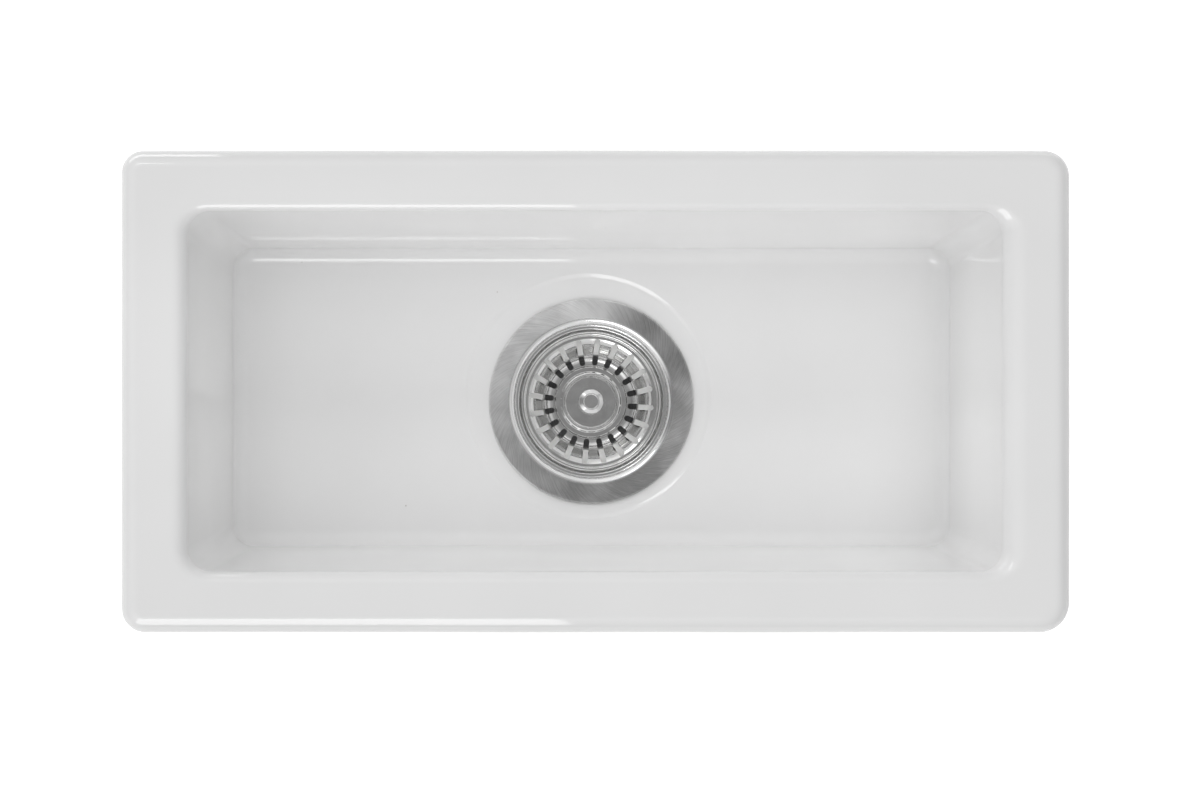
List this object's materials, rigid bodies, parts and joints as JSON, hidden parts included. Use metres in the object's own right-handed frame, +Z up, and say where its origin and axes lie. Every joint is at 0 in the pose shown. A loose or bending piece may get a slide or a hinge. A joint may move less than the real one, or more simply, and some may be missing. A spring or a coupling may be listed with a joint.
{
  "type": "undermount sink",
  "caption": "Rectangular fireclay undermount sink with drafted walls, a gently falling floor and a basket strainer waste whose plug lifts out.",
  "frame": {"origin": "centre of the rim's top face, where the sink meets the underside of the worktop", "axes": "+X along the sink, +Y across it, +Z up out of the bowl"},
  "size_m": [0.472, 0.24, 0.236],
  "materials": {
    "fireclay": "glossy white glaze, bare biscuit underneath",
    "flange_steel": "swirl brushed",
    "waste_plastic": "moulded satin",
    "seal_rubber": "matt",
    "gasket_rubber": "matt",
    "washer_plastic": "smooth",
    "backnut_plastic": "moulded satin",
    "basket_steel": "bright pressed",
    "knob_steel": "turned and polished",
    "stem_steel": "plain turned",
    "ring_rubber": "matt",
    "plug_rubber": "matt ribbed",
    "retainer_steel": "pressed",
    "nut_brass": "plain turned",
    "post_plastic": "moulded satin",
    "clip_steel": "spring steel"
  },
  "bodies": {
    "sink": {"sink_bowl": "fireclay", "flange_ring": "flange_steel", "waste_body": "waste_plastic", "flange_seal": "seal_rubber", "under_gasket": "gasket_rubber", "slip_washer": "washer_plastic", "backnut": "backnut_plastic"},
    "post": {"guide_post": "post_plastic"},
    "basket": {"basket_cup": "basket_steel", "knob": "knob_steel", "stem": "stem_steel", "stem_o_ring": "ring_rubber", "plug_seal": "plug_rubber", "seal_retainer": "retainer_steel", "stem_nut": "nut_brass", "post_clip": "clip_steel"}
  },
  "joints": [
    {"name": "basket_lift", "type": "slide", "parent": "sink", "child": "post", "axis": [0, 0, 1], "range_m": [0, 0.22]},
    {"name": "basket_turn", "type": "hinge", "parent": "post", "child": "basket", "pos_m": [0, -0.002, -0.19], "axis": [0, 0, 1], "continuous": true}
  ]
}
